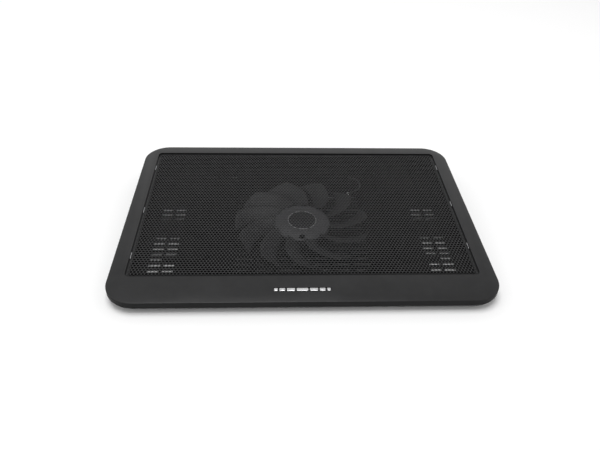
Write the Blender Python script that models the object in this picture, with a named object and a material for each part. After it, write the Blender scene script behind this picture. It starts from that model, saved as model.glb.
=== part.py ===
"""Laptop cooling pad: a wedge-shaped tray with a perforated deck, one wide fan and two folding rear legs.

Units are metres, +Z is up and +Y points away from the user. The origin is on the table under the middle
of the pad. The deck, its frame and the fan are drawn level in the deck frame, whose origin is the middle of
the top face, and the empty deck_plane tips them forward. The legs and feet are drawn level with the table.
"""

import math

import bmesh
import bpy
from mathutils import Matrix, Vector

# Deck and case
DECK_WIDTH = 0.350
DECK_DEPTH = 0.250
DECK_CORNER = 0.026
FRONT_RISE = 0.012  # height of the front top edge above the table
TILT = math.radians(4.1)
DECK_LIFT = FRONT_RISE + DECK_DEPTH / 2 * math.sin(TILT)
FOOT_RISE = 0.0012  # gap between the case's underside and the table
GAP = 0.0003  # clearance between pieces that touch
WALL = 0.0015
PARTING = 0.0052  # depth of the line where the frame meets the shell
CORNER_STEPS = 6
FLOOR_CUT = 0.0040  # height above the table that cuts through the shell's floor

# Frame opening and its ledge
OPENING_SIDE = 0.1608
OPENING_FRONT = -0.0928
OPENING_BACK = 0.1120
OPENING_CORNER = 0.0045
LEDGE_WIDTH = 0.0030
LEDGE_DEPTH = 0.0019
FRAME_THICKNESS = 0.0034

# Perforated panel
PANEL_SUNK = 0.0008
PANEL_THICKNESS = 0.0008
TAB_LENGTH = 0.008
TAB_REACH = 0.0042
SIDE_TABS = ((-0.064, 0.005, 0.082), (-0.052, 0.015, 0.084))  # left and right
END_TABS = (-0.120, -0.040, 0.040, 0.120)

# Shell
SHELL_INSETS = ((0.0, 0.0, 0.0), (0.0010, 0.0012, 0.0006), (0.0090, 0.0060, 0.0040))  # front, sides, back
SHELL_SHOULDER = 0.0078
SLOT_WIDTH = 0.0042
SLOT_PITCH = 0.0085
SLOT_FRONT_ROW = -0.0718
GRILLE_ROWS = 16
GRILLE_SLOT_WIDTH = 0.0026
GRILLE_RIBS = (-0.067, -0.047, -0.0275, 0.0, 0.0275, 0.047, 0.067)
GRILLE_RIB_WIDTH = 0.0030
SIDE_ROWS = 13
SIDE_BLANK_ROWS = (7, 8, 9)
SIDE_SLOTS = ((0.1220, 0.1325), (0.1350, 0.1465))
RIB_HEIGHT = 0.0035
RIB_INNER = 0.0919
RIB_OUTER = 0.1345
RIB_FRONT = -0.0600
RIB_CORNER = 0.008
FRONT_LEAN = 0.55  # run over rise of the raised parts' front faces
REAR_WINDOW = (-0.0782, -0.0707, 0.1000, 0.1035)
SIDE_WINDOW_MIDDLE = (0.0572, 0.0660)
SIDE_WINDOW_SIZE = (0.0034, 0.0088)
SIDE_WINDOW_TURN = math.radians(-20)

# Screws between the shell and the frame
CASE_SCREWS = ((-0.140, -0.108), (0.0, -0.108), (0.140, -0.108), (-0.145, 0.1165), (0.0, 0.1165), (0.145, 0.1165))
BOSS_RADIUS = 0.0042
BOSS_TOP = 0.0080
WEB_BOTTOM = 0.0094
HEAD_RADIUS = 0.0027
HEAD_HEIGHT = 0.0015
SHANK_RADIUS = 0.00125

# Fan, in the deck frame
FAN_X = 0.001
FAN_Y = -0.0095
BLADE_COUNT = 11
TIP_RADIUS = 0.068
ROOT_RADIUS = 0.0278
BLADE_HIGH = 0.0035  # depth of the trailing edge
BLADE_LOW = 0.0112  # depth of the leading edge
BLADE_THICKNESS = 0.0011
HUB_CAP_RADIUS = 0.0135
HUB_RIM_RADIUS = 0.0146
HUB_RADIUS = 0.0284
HUB_TOP = 0.0027
HUB_SHOULDER = 0.0062
HUB_BOTTOM = 0.0122
HUB_HOLE_RADIUS = 0.0030
HUB_HOLE_PLACE = (-0.0010, -0.0236)
SHAFT_RADIUS = 0.0010
BEARING_BORE = 0.0011
BEARING_RADIUS = 0.0030
HOLDER_BORE = 0.0033
HOLDER_RADIUS = 0.0043
MOTOR_BOSS_RADIUS = 0.0255
MOTOR_BOSS_TOP = 0.01565
BOARD_RADIUS = 0.0245
BOARD_TOP = 0.01455
BOARD_BOTTOM = 0.01535
MOTOR_SCREW_CIRCLE = 0.0223
POLE_COUNT = 4

# Cord channel under the rear of the shell
CHANNEL_LEFT = -0.0660
CHANNEL_RIGHT = 0.0570
CHANNEL_FRONT = 0.0775
CHANNEL_BACK = 0.0955
CHANNEL_CEILING = 0.0135
GROMMET_Y = 0.0865
GROMMET_DEPTH = 0.0185
GROMMET_BORE = 0.0017
LEAD_RADIUS = 0.0009

# Legs, in the table frame
LEG_MIDDLE = 0.1118
LEG_HALF_WIDTH = 0.0174
POCKET_HALF_WIDTH = 0.0180
POCKET_FRONT = 0.0468
POCKET_BACK = 0.1095
POCKET_CEILING = 0.0125
PIN_Y = 0.1035
PIN_Z = 0.0065
PIN_RADIUS = 0.0015
LEG_TIP = 0.0481
LEG_BOTTOM = 0.0015
LEG_TOP = 0.0105
LEG_BARREL = 0.0050

# Feet
FOOT_PLACES = ((-0.152, -0.092), (0.152, -0.092), (-0.152, 0.100), (0.152, 0.100))
FOOT_RADIUS = 0.0070
FOOT_RECESS = 0.0007

# Front mark: a row of plain dashes
MARK_X = -0.0028
MARK_Y = -0.1098
MARK_DASHES = (0.0030, 0.0050, 0.0070, 0.0100, 0.0070, 0.0050, 0.0030)
DASH_GAP = 0.0016
DASH_DEPTH = 0.0032

DECK = Matrix.Translation((0, 0, DECK_LIFT)) @ Matrix.Rotation(TILT, 4, "X")


# ---------------------------------------------------------------- helpers


def clear_scene():
    """Remove every object, so the script can run from an open file."""
    for obj in list(bpy.data.objects):
        bpy.data.objects.remove(obj, do_unlink=True)


def make_material(name, colour, roughness, metallic=0.0):
    """Return a Principled BSDF material of one colour."""
    material = bpy.data.materials.new(name)
    material.use_nodes = True
    shader = material.node_tree.nodes["Principled BSDF"]
    shader.inputs["Base Color"].default_value = (*colour, 1.0)
    shader.inputs["Roughness"].default_value = roughness
    shader.inputs["Metallic"].default_value = metallic
    return material


def new_object(name, bm):
    """Turn a bmesh into an object with outward faces."""
    bmesh.ops.recalc_face_normals(bm, faces=bm.faces)
    mesh = bpy.data.meshes.new(name)
    bm.to_mesh(mesh)
    bm.free()
    obj = bpy.data.objects.new(name, mesh)
    bpy.context.scene.collection.objects.link(obj)
    return obj


def dress(obj, material, parent=None):
    """Give a finished piece its material, smooth shading and parent."""
    obj.data.materials.clear()
    obj.data.materials.append(material)
    obj.data.shade_smooth()
    obj.data.set_sharp_from_angle(angle=math.radians(35))
    obj.parent = parent
    return obj


def combine(target, tool, operation):
    """Apply a Boolean of tool to target and remove the tool."""
    modifier = target.modifiers.new("combine", "BOOLEAN")
    modifier.object = tool
    modifier.operation = operation
    modifier.solver = "EXACT"
    graph = bpy.context.evaluated_depsgraph_get()
    mesh = bpy.data.meshes.new_from_object(target.evaluated_get(graph))
    target.modifiers.clear()
    target.data = mesh
    bpy.data.objects.remove(tool, do_unlink=True)
    return target


def cut(target, tool):
    """Subtract tool from target."""
    return combine(target, tool, "DIFFERENCE")


def join(target, tool):
    """Add tool to target."""
    return combine(target, tool, "UNION")


def to_deck(obj):
    """Move a mesh drawn in the table frame into the deck frame."""
    obj.data.transform(DECK.inverted())
    return obj


def boxes(name, spans):
    """Return one object of separate boxes, each given as (x0, x1, y0, y1, z0, z1)."""
    bm = bmesh.new()
    for x0, x1, y0, y1, z0, z1 in spans:
        centre = Vector(((x0 + x1) / 2, (y0 + y1) / 2, (z0 + z1) / 2))
        size = Matrix.Diagonal((x1 - x0, y1 - y0, z1 - z0, 1.0))
        bmesh.ops.create_cube(bm, size=1.0, matrix=Matrix.Translation(centre) @ size)
    return new_object(name, bm)


def box(name, x0, x1, y0, y1, z0, z1):
    """Return one box."""
    return boxes(name, [(x0, x1, y0, y1, z0, z1)])


def cylinder(name, radius, bottom, top, x=0.0, y=0.0, segments=32):
    """Return an upright cylinder."""
    bm = bmesh.new()
    place = Matrix.Translation((x, y, (bottom + top) / 2))
    bmesh.ops.create_cone(
        bm, cap_ends=True, segments=segments, radius1=radius, radius2=radius, depth=top - bottom, matrix=place
    )
    return new_object(name, bm)


def cross_bar(name, radius, x0, x1, y, z, segments=24):
    """Return a cylinder along X."""
    bm = bmesh.new()
    place = Matrix.Translation(((x0 + x1) / 2, y, z)) @ Matrix.Rotation(math.pi / 2, 4, "Y")
    bmesh.ops.create_cone(
        bm, cap_ends=True, segments=segments, radius1=radius, radius2=radius, depth=x1 - x0, matrix=place
    )
    return new_object(name, bm)


def revolve(name, profile, segments=48, closed=True):
    """Spin a profile of (radius, z) points about Z."""
    bm = bmesh.new()
    points = [bm.verts.new((radius, 0.0, z)) for radius, z in profile]
    edges = [bm.edges.new(pair) for pair in zip(points, points[1:])]
    if closed:
        edges.append(bm.edges.new((points[-1], points[0])))
    bmesh.ops.spin(
        bm,
        geom=points + edges,
        cent=(0, 0, 0),
        axis=(0, 0, 1),
        dvec=(0, 0, 0),
        angle=math.tau,
        steps=segments,
        use_merge=True,
    )
    bmesh.ops.remove_doubles(bm, verts=bm.verts, dist=1e-6)
    return new_object(name, bm)


def extrude_outline(name, outline, bottom, top):
    """Raise a flat outline of (x, y) points into a solid."""
    bm = bmesh.new()
    face = bm.faces.new([bm.verts.new((x, y, bottom)) for x, y in outline])
    raised = bmesh.ops.extrude_face_region(bm, geom=[face])
    verts = [item for item in raised["geom"] if isinstance(item, bmesh.types.BMVert)]
    bmesh.ops.translate(bm, vec=(0, 0, top - bottom), verts=verts)
    return new_object(name, bm)


def rounded_outline(x0, x1, y0, y1, radius, steps=CORNER_STEPS):
    """Return the (x, y) points of a rectangle with round corners, anticlockwise."""
    corners = ((x1, y1, 0), (x0, y1, 1), (x0, y0, 2), (x1, y0, 3))
    points = []
    for x, y, quarter in corners:
        middle_x = x - radius if x == x1 else x + radius
        middle_y = y - radius if y == y1 else y + radius
        for step in range(steps + 1):
            angle = (quarter + step / steps) * math.pi / 2
            points.append((middle_x + radius * math.cos(angle), middle_y + radius * math.sin(angle)))
    return points


def deck_outline(front, side, back):
    """Return the pad's outline, drawn in by the given insets."""
    radius = DECK_CORNER - min(front, side, back)
    half = DECK_DEPTH / 2
    return rounded_outline(-DECK_WIDTH / 2 + side, DECK_WIDTH / 2 - side, front - half, half - back, radius)


def opening_outline(growth):
    """Return the frame opening's outline, made larger by growth."""
    side = OPENING_SIDE + growth
    radius = max(OPENING_CORNER + growth, 0.0012)
    return rounded_outline(-side, side, OPENING_FRONT - growth, OPENING_BACK + growth, radius)


def loft(name, sections, closed=False):
    """Skin sections of equal point count, each (outline, height of a point), and cap or close the ends."""
    bm = bmesh.new()
    rings = [[bm.verts.new((x, y, height(y))) for x, y in outline] for outline, height in sections]
    pairs = list(zip(rings, rings[1:]))
    if closed:
        pairs.append((rings[-1], rings[0]))
    for lower, upper in pairs:
        for a, b, c, d in zip(lower, lower[1:] + lower[:1], upper[1:] + upper[:1], upper):
            bm.faces.new((a, b, c, d))
    if not closed:
        bm.faces.new(rings[0])
        bm.faces.new(rings[-1])
    return new_object(name, bm)


def level(depth):
    """Return a height function for a plane parallel to the deck, at this depth below it."""
    return lambda y: -depth


def above_table(height):
    """Return a height function, in the deck frame, for the plane this far above the table."""
    return lambda y: (height - DECK_LIFT - y * math.sin(TILT)) / math.cos(TILT)


# ---------------------------------------------------------------- frame, panel and mark


def tab_boxes(clearance, top, bottom):
    """Return the spans of the panel's bent tabs, with a clearance around each."""
    edge = GAP - clearance
    half = TAB_LENGTH / 2 + clearance
    thick = PANEL_THICKNESS + 2 * clearance
    spans = []
    for side, places in zip((-1, 1), SIDE_TABS):
        for y in places:
            outer = side * (OPENING_SIDE - edge)
            inner = outer - side * thick
            spans.append((min(outer, inner), max(outer, inner), y - half, y + half, bottom, top))
    for x in END_TABS:
        spans.append((x - half, x + half, OPENING_FRONT + edge, OPENING_FRONT + edge + thick, bottom, top))
        spans.append((x - half, x + half, OPENING_BACK - edge - thick, OPENING_BACK - edge, bottom, top))
    return spans


def make_top_frame(material, parent):
    """Build the moulded bezel with its skirt, panel ledge and six screw posts."""
    sections = [
        (deck_outline(0.0016, 0.0016, 0.0016), level(0.0)),
        (deck_outline(0.0005, 0.0005, 0.0005), level(0.0005)),
        (deck_outline(0.0, 0.0, 0.0), level(0.0016)),
        (deck_outline(0.0, 0.0, 0.0), level(PARTING)),
        (deck_outline(0.0020, 0.0020, 0.0020), level(PARTING)),
        (deck_outline(0.0020, 0.0020, 0.0020), level(FRAME_THICKNESS)),
        (opening_outline(-LEDGE_WIDTH), level(FRAME_THICKNESS)),
        (opening_outline(-LEDGE_WIDTH), level(LEDGE_DEPTH)),
        (opening_outline(0.0), level(LEDGE_DEPTH)),
        (opening_outline(0.0), level(0.0004)),
        (opening_outline(0.0004), level(0.0)),
    ]
    frame = loft("top_frame", sections, closed=True)
    for x, y in CASE_SCREWS:
        join(frame, cylinder("post", 0.0032, -BOSS_TOP + GAP, -FRAME_THICKNESS + 0.0006, x, y, 20))
        cut(frame, cylinder("pilot", SHANK_RADIUS + GAP, -BOSS_TOP, -0.0020, x, y, 16))
    cut(frame, boxes("tab_slots", tab_boxes(GAP, -LEDGE_DEPTH + 0.0004, -FRAME_THICKNESS - 0.0004)))
    half_x = mark_length() / 2 + 2 * GAP
    half_y = DASH_DEPTH / 2 + 2 * GAP
    recess = box("recess", MARK_X - half_x, MARK_X + half_x, MARK_Y - half_y, MARK_Y + half_y, -0.0009, 0.0010)
    return dress(cut(frame, recess), material, parent)


def make_mesh_panel(material, parent):
    """Build the flat panel with its bent tabs; the perforation pattern is left to its finish."""
    outline = opening_outline(-GAP)
    top = -PANEL_SUNK
    panel = loft("mesh_panel", [(outline, level(PANEL_SUNK)), (outline, level(PANEL_SUNK + PANEL_THICKNESS))])
    join(panel, boxes("tabs", tab_boxes(0.0, top - 0.0002, -TAB_REACH)))
    return dress(panel, material, parent)


def mark_length():
    """Return the length of the row of dashes."""
    return sum(MARK_DASHES) + DASH_GAP * (len(MARK_DASHES) - 1)


def make_mark(material, parent):
    """Build the inlay: a thin strip that carries graded dashes."""
    half_x = mark_length() / 2
    half_y = DASH_DEPTH / 2
    strip = box("front_mark", MARK_X - half_x, MARK_X + half_x, MARK_Y - half_y, MARK_Y + half_y, -0.0006, -0.0002)
    start = MARK_X - half_x
    for length in MARK_DASHES:
        dash = box("dash", start, start + length, MARK_Y - half_y, MARK_Y + half_y, -0.0004, 0.0)
        join(strip, dash)
        start += length + DASH_GAP
    return dress(strip, material, parent)


# ---------------------------------------------------------------- shell


def pocket_span(side, wall, ceiling):
    """Return the box round one leg pocket in the table frame, grown by a wall."""
    middle = side * LEG_MIDDLE
    half = POCKET_HALF_WIDTH + wall
    return (middle - half, middle + half, POCKET_FRONT - wall, POCKET_BACK + wall, -0.010, ceiling)


def leaning_box(name, x0, x1, y0, y1, z0, z1):
    """Return a box whose front face leans back from a foot that stands further forward."""
    obj = box(name, x0, x1, y0, y1, z0, z1)
    for vert in obj.data.vertices:
        if vert.co.y < (y0 + y1) / 2 and vert.co.z < (z0 + z1) / 2:
            vert.co.y -= FRONT_LEAN * (z1 - z0)
    return obj


def pocket_rib(side):
    """Return the stiffening rib that runs forward from the pocket along the floor."""
    x0, x1 = sorted((side * RIB_INNER, side * RIB_OUTER))
    back = POCKET_FRONT + 0.004
    outer = rounded_outline(x0, x1, RIB_FRONT, back, RIB_CORNER)
    inner = rounded_outline(x0 + WALL, x1 - WALL, RIB_FRONT + WALL, back - WALL, RIB_CORNER - WALL)
    rib = loft("rib", [(outer, level(0.040)), (outer, above_table(FOOT_RISE + WALL + RIB_HEIGHT))])
    return cut(rib, loft("hollow", [(inner, level(0.041)), (inner, level(0.0))]))


def make_cavity():
    """Return the inside of the shell: the outline drawn in by a wall, less everything that stands in it."""
    lower = [inset + WALL for inset in SHELL_INSETS[2]]
    shoulder = [inset + WALL for inset in SHELL_INSETS[1]]
    cavity = loft(
        "cavity",
        [
            (deck_outline(*shoulder), level(PARTING - 0.002)),
            (deck_outline(*shoulder), level(SHELL_SHOULDER)),
            (deck_outline(*lower), above_table(FOOT_RISE + WALL)),
        ],
    )
    for side in (-1, 1):
        cut(cavity, to_deck(leaning_box("pocket", *pocket_span(side, WALL, POCKET_CEILING + WALL))))
        cut(cavity, pocket_rib(side))
    cut(
        cavity,
        leaning_box(
            "channel",
            CHANNEL_LEFT - WALL,
            CHANNEL_RIGHT + WALL,
            CHANNEL_FRONT - WALL,
            CHANNEL_BACK + WALL,
            -0.040,
            WALL - CHANNEL_CEILING,
        ),
    )
    for x, y in CASE_SCREWS:
        cut(cavity, cylinder("boss", BOSS_RADIUS, -0.040, -BOSS_TOP, x, y, 24))
    cut(cavity, cylinder("motor_boss", MOTOR_BOSS_RADIUS, -0.040, -MOTOR_BOSS_TOP, FAN_X, FAN_Y, 48))
    cut(cavity, cylinder("holder", HOLDER_RADIUS, -0.030, -0.0092, FAN_X, FAN_Y, 24))
    return cavity


def slot_boxes():
    """Return the spans of the floor's vent slots: the fan grille and an array beside each leg rib."""
    spans = []
    for row in range(GRILLE_ROWS):
        y = SLOT_FRONT_ROW + row * SLOT_PITCH
        for left, right in zip(GRILLE_RIBS, GRILLE_RIBS[1:]):
            spans.append(slot_span(left + GRILLE_RIB_WIDTH / 2, right - GRILLE_RIB_WIDTH / 2, y, GRILLE_SLOT_WIDTH))
    for row in range(SIDE_ROWS):
        y = SLOT_FRONT_ROW + row * SLOT_PITCH
        if row in SIDE_BLANK_ROWS:
            continue
        for inner, outer in SIDE_SLOTS:
            spans.append(slot_span(inner, outer, y, SLOT_WIDTH))
            spans.append(slot_span(-outer, -inner, y, SLOT_WIDTH))
    return [span for span in spans if not covers_motor(span)]


def slot_span(x0, x1, y, width):
    """Return a slot's box, tall enough to cut the floor anywhere along the wedge."""
    top = above_table(FOOT_RISE + WALL + 0.0009)(y)
    return (x0, x1, y - width / 2, y + width / 2, above_table(0)(y), top)


def covers_motor(span):
    """Tell whether a slot would touch the motor's boss."""
    x0, x1, y0, y1 = span[:4]
    near_x = min(max(FAN_X, x0), x1)
    near_y = min(max(FAN_Y, y0), y1)
    return math.hypot(near_x - FAN_X, near_y - FAN_Y) < MOTOR_BOSS_RADIUS + 0.0010


def make_bottom_shell(material, parent):
    """Build the tray: wedge walls, floor slots, leg pockets, cord channel, screw bosses and motor boss."""
    outer = [
        (deck_outline(*SHELL_INSETS[0]), level(PARTING + GAP)),
        (deck_outline(*SHELL_INSETS[1]), level(SHELL_SHOULDER)),
        (deck_outline(*SHELL_INSETS[2]), above_table(FOOT_RISE)),
    ]
    shell = cut(loft("bottom_shell", outer), make_cavity())
    for side in (-1, 1):
        cut(shell, to_deck(boxes("pocket", [pocket_span(side, 0.0, POCKET_CEILING)])))
        inner = side * LEG_MIDDLE - POCKET_HALF_WIDTH - 0.004
        outer_end = side * LEG_MIDDLE + POCKET_HALF_WIDTH + 0.004
        cut(shell, to_deck(cross_bar("pin_hole", PIN_RADIUS + GAP, inner, outer_end, PIN_Y, PIN_Z)))
    channel = (CHANNEL_LEFT, CHANNEL_RIGHT, CHANNEL_FRONT, CHANNEL_BACK, -0.040, -CHANNEL_CEILING)
    cut(shell, box("channel", *channel))
    grommet_hole = cross_bar(
        "grommet_hole", BEARING_RADIUS + GAP, CHANNEL_RIGHT - 0.003, CHANNEL_RIGHT + 0.005, GROMMET_Y, -GROMMET_DEPTH
    )
    cut(shell, grommet_hole)
    for x, y in CASE_SCREWS:
        cut(shell, cylinder("well", HEAD_RADIUS + GAP, -0.040, -WEB_BOTTOM, x, y, 20))
        cut(shell, cylinder("shank_hole", SHANK_RADIUS + GAP, -WEB_BOTTOM - 0.001, -BOSS_TOP + 0.001, x, y, 16))
    cut(shell, cylinder("bearing_bore", HOLDER_BORE, -0.0176, -0.0080, FAN_X, FAN_Y, 24))
    for x, y in motor_screw_places():
        cut(shell, cylinder("pilot", 0.0009, -0.0184, -0.0150, FAN_X + x, FAN_Y + y, 12))
    for x, y in FOOT_PLACES:
        well = cylinder("foot_well", FOOT_RADIUS + GAP, -0.002, FOOT_RISE + FOOT_RECESS, x, y, 32)
        cut(shell, to_deck(well))
    cut(shell, boxes("slots", slot_boxes()))
    cut(shell, to_deck(box("rear_window", *REAR_WINDOW, -0.010, FLOOR_CUT)))
    half_x, half_y = (size / 2 for size in SIDE_WINDOW_SIZE)
    window = box("side_window", -half_x, half_x, -half_y, half_y, -0.010, FLOOR_CUT)
    place = Matrix.Translation((*SIDE_WINDOW_MIDDLE, 0.0)) @ Matrix.Rotation(SIDE_WINDOW_TURN, 4, "Z")
    window.data.transform(place)
    cut(shell, to_deck(window))
    return dress(shell, material, parent)


# ---------------------------------------------------------------- fan and motor


def blade_point(radius, across):
    """Return a point of the first blade's middle surface; across runs from its high to its low edge."""
    reach = (radius - 0.047) / 0.020
    middle = math.radians(160.4 + 12.4 * reach + 3.8 * reach**2)
    half = math.radians(11.0 - 1.0 * reach)
    angle = middle + (2 * across - 1) * half
    bow = 0.0009 * 4 * across * (1 - across)
    depth = BLADE_HIGH + (BLADE_LOW - BLADE_HIGH) * across - bow
    return Vector((radius * math.cos(angle), radius * math.sin(angle), -depth))


def make_blade(angle, radial_steps=7, cross_steps=3):
    """Build one sickle blade: a curved sheet with a thickness."""
    bm = bmesh.new()
    bmesh.ops.create_grid(bm, x_segments=radial_steps, y_segments=cross_steps, size=0.5)
    turn = Matrix.Rotation(angle, 3, "Z")
    for vert in bm.verts:
        radius = ROOT_RADIUS + (TIP_RADIUS - ROOT_RADIUS) * (vert.co.x + 0.5)
        vert.co = turn @ blade_point(radius, vert.co.y + 0.5)
    bmesh.ops.recalc_face_normals(bm, faces=bm.faces)
    bmesh.ops.solidify(bm, geom=bm.faces[:], thickness=BLADE_THICKNESS)
    return new_object("blade", bm)


def make_fan_rotor(material, parent):
    """Build the hub and its blades as one moulding, hollow underneath for the motor."""
    hub = [
        (0.0, -HUB_TOP - 0.0009),
        (HUB_CAP_RADIUS + GAP, -HUB_TOP - 0.0009),
        (HUB_CAP_RADIUS + GAP, -HUB_TOP),
        (HUB_RIM_RADIUS, -HUB_TOP),
        (HUB_RADIUS, -HUB_SHOULDER),
        (HUB_RADIUS, -HUB_BOTTOM),
        (0.0, -HUB_BOTTOM),
    ]
    rotor = revolve("fan_rotor", hub, segments=44, closed=False)
    for number in range(BLADE_COUNT):
        join(rotor, make_blade(number * math.tau / BLADE_COUNT))
    inside = [
        (0.0, -0.0048),
        (HUB_RIM_RADIUS - 0.0002, -0.0048),
        (HUB_RADIUS - 0.0013, -0.0078),
        (HUB_RADIUS - 0.0013, -0.0130),
        (0.0, -0.0130),
    ]
    cavity = revolve("inside", inside, segments=44, closed=False)
    cut(cavity, cylinder("spigot", 0.0080, -0.0072, -0.0040, segments=32))
    cut(rotor, cavity)
    cut(rotor, cylinder("shaft_hole", SHAFT_RADIUS + GAP, -0.0090, -0.0051, segments=16))
    cut(rotor, cylinder("vent", HUB_HOLE_RADIUS, -0.0120, -0.0020, *HUB_HOLE_PLACE, 20))
    return dress(rotor, material, parent)


def make_rotor_inserts(materials, parent):
    """Build the hub's label disc and the steel yoke, magnet, shaft and clip that turn with it."""
    disc = [(0.0, -HUB_TOP), (HUB_CAP_RADIUS, -HUB_TOP), (HUB_CAP_RADIUS, -HUB_TOP - 0.0006), (0.0, -HUB_TOP - 0.0006)]
    dress(revolve("hub_disc", disc, segments=40, closed=False), materials["silver"], parent)
    yoke = [
        (SHAFT_RADIUS + GAP, -0.0075),
        (0.0190, -0.0075),
        (0.0190, -0.0132),
        (0.0182, -0.0132),
        (0.0182, -0.0083),
        (SHAFT_RADIUS + GAP, -0.0083),
    ]
    dress(revolve("rotor_yoke", yoke, segments=40), materials["steel"], parent)
    magnet = [(0.0159, -0.0086), (0.0179, -0.0086), (0.0179, -0.0130), (0.0159, -0.0130)]
    dress(revolve("ring_magnet", magnet, segments=40), materials["ferrite"], parent)
    shaft = cylinder("rotor_shaft", SHAFT_RADIUS, -0.0172, -0.0054, segments=24)
    dress(shaft, materials["steel"], parent)
    clip = revolve(
        "shaft_clip", [(0.0013, -0.0167), (0.0024, -0.0167), (0.0024, -0.0170), (0.0013, -0.0170)], segments=24
    )
    cut(clip, box("clip_gap", -0.0005, 0.0005, 0.0, 0.004, -0.018, -0.016))
    dress(clip, materials["steel"], parent)


def pole_outline():
    """Return the stator's outline: four stems, each with a curved shoe."""
    root, stem, shoe, rim = 0.0065, 0.0015, 0.0135, 0.0152
    half_shoe = math.radians(31)
    points = []
    for pole in range(POLE_COUNT):
        turn = pole * math.tau / POLE_COUNT
        polar = [(root, -math.asin(stem / root)), (shoe, -math.asin(stem / shoe)), (shoe, -half_shoe)]
        polar += [(rim, half_shoe * (step / 3 - 1)) for step in range(7)]
        polar += [(shoe, half_shoe), (shoe, math.asin(stem / shoe)), (root, math.asin(stem / root))]
        polar += [(root, math.pi / 4)]
        points += [(radius * math.cos(turn + angle), radius * math.sin(turn + angle)) for radius, angle in polar]
    return points


def make_stator(materials, parent):
    """Build the fixed half of the motor: laminated core, coils, bearing, washer and circuit board."""
    core = extrude_outline("stator_core", pole_outline(), -0.0128, -0.0102)
    cut(core, cylinder("core_bore", HOLDER_RADIUS + GAP, -0.014, -0.009, segments=24))
    dress(core, materials["steel"], parent)
    for number in range(POLE_COUNT):
        coil = box(f"coil_{number + 1}", 0.0073, 0.0128, -0.00325, 0.00325, -0.0142, -0.0088)
        cut(coil, box("window", 0.0070, 0.0131, -0.0018, 0.0018, -0.0131, -0.0099))
        coil.data.transform(Matrix.Rotation(number * math.tau / POLE_COUNT, 4, "Z"))
        dress(coil, materials["copper"], parent)
    sleeve = [(BEARING_BORE, -0.0096), (BEARING_RADIUS, -0.0096), (BEARING_RADIUS, -0.0164), (BEARING_BORE, -0.0164)]
    dress(revolve("bearing_sleeve", sleeve, segments=24), materials["bronze"], parent)
    washer = [(0.0013, -0.0088), (0.0026, -0.0088), (0.0026, -0.0093), (0.0013, -0.0093)]
    dress(revolve("thrust_washer", washer, segments=24), materials["nylon"], parent)
    board = cylinder("motor_board", BOARD_RADIUS, -BOARD_BOTTOM, -BOARD_TOP, segments=48)
    cut(board, cylinder("board_bore", HOLDER_RADIUS + GAP, -0.017, -0.013, segments=24))
    for x, y in motor_screw_places():
        cut(board, cylinder("board_hole", 0.0012, -0.017, -0.013, x, y, 12))
    dress(board, materials["board"], parent)
    for number, (x, y) in enumerate(motor_screw_places()):
        head = [(0.0, -0.0133), (0.0019, -0.0133), (0.0019, -0.01425)]
        shank = [(0.0006, -0.01425), (0.0006, -0.0181), (0.0, -0.0181)]
        screw = revolve(f"motor_screw_{number + 1}", head + shank, segments=16, closed=False)
        screw.data.transform(Matrix.Translation((x, y, 0)))
        dress(screw, materials["steel"], parent)


def motor_screw_places():
    """Return the (x, y) places of the three motor screws about the fan's axis."""
    angles = [math.radians(30 + 120 * number) for number in range(3)]
    return [(MOTOR_SCREW_CIRCLE * math.cos(angle), MOTOR_SCREW_CIRCLE * math.sin(angle)) for angle in angles]


# ---------------------------------------------------------------- lead, grommet and fasteners


def lead_route():
    """Return the fan lead's own points, from the motor board to the grommet."""
    end_x = CHANNEL_RIGHT + WALL + 0.0038
    return (
        (FAN_X + 0.0010, FAN_Y + 0.0249, -0.0147),
        (FAN_X + 0.0030, FAN_Y + 0.0290, -0.0150),
        (0.0080, 0.0260, -0.0172),
        (0.0180, 0.0340, -0.0192),
        (0.0360, 0.0500, -0.0204),
        (0.0560, 0.0600, -0.0211),
        (0.0700, 0.0700, -0.0212),
        (0.0720, 0.0800, -0.0203),
        (0.0690, GROMMET_Y - 0.0010, -0.0190),
        (end_x + 0.0020, GROMMET_Y, -GROMMET_DEPTH),
        (end_x, GROMMET_Y, -GROMMET_DEPTH),
    )


def smooth_route(points, steps):
    """Return points on a Catmull-Rom curve through the given ones."""
    ends = [Vector(points[0]) * 2 - Vector(points[1])] + [Vector(point) for point in points]
    ends.append(Vector(points[-1]) * 2 - Vector(points[-2]))
    route = []
    for a, b, c, d in zip(ends, ends[1:], ends[2:], ends[3:]):
        for step in range(steps):
            t = step / steps
            route.append(
                0.5 * (2 * b + (c - a) * t + (2 * a - 5 * b + 4 * c - d) * t**2 + (3 * b - a - 3 * c + d) * t**3)
            )
    route.append(ends[-2])
    return route


def make_fan_lead(material, parent):
    """Build the lead held between the shell's ribs, from the board to the grommet."""
    route = smooth_route(lead_route(), 3)
    curve = bpy.data.curves.new("fan_lead", "CURVE")
    curve.dimensions = "3D"
    curve.bevel_depth = LEAD_RADIUS
    curve.bevel_resolution = 2
    curve.use_fill_caps = True
    spline = curve.splines.new("POLY")
    spline.points.add(len(route) - 1)
    for point, place in zip(spline.points, route):
        point.co = (*place, 1.0)
    lead = bpy.data.objects.new("fan_lead", curve)
    bpy.context.scene.collection.objects.link(lead)
    curve.materials.append(material)
    lead.parent = parent
    return lead


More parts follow.
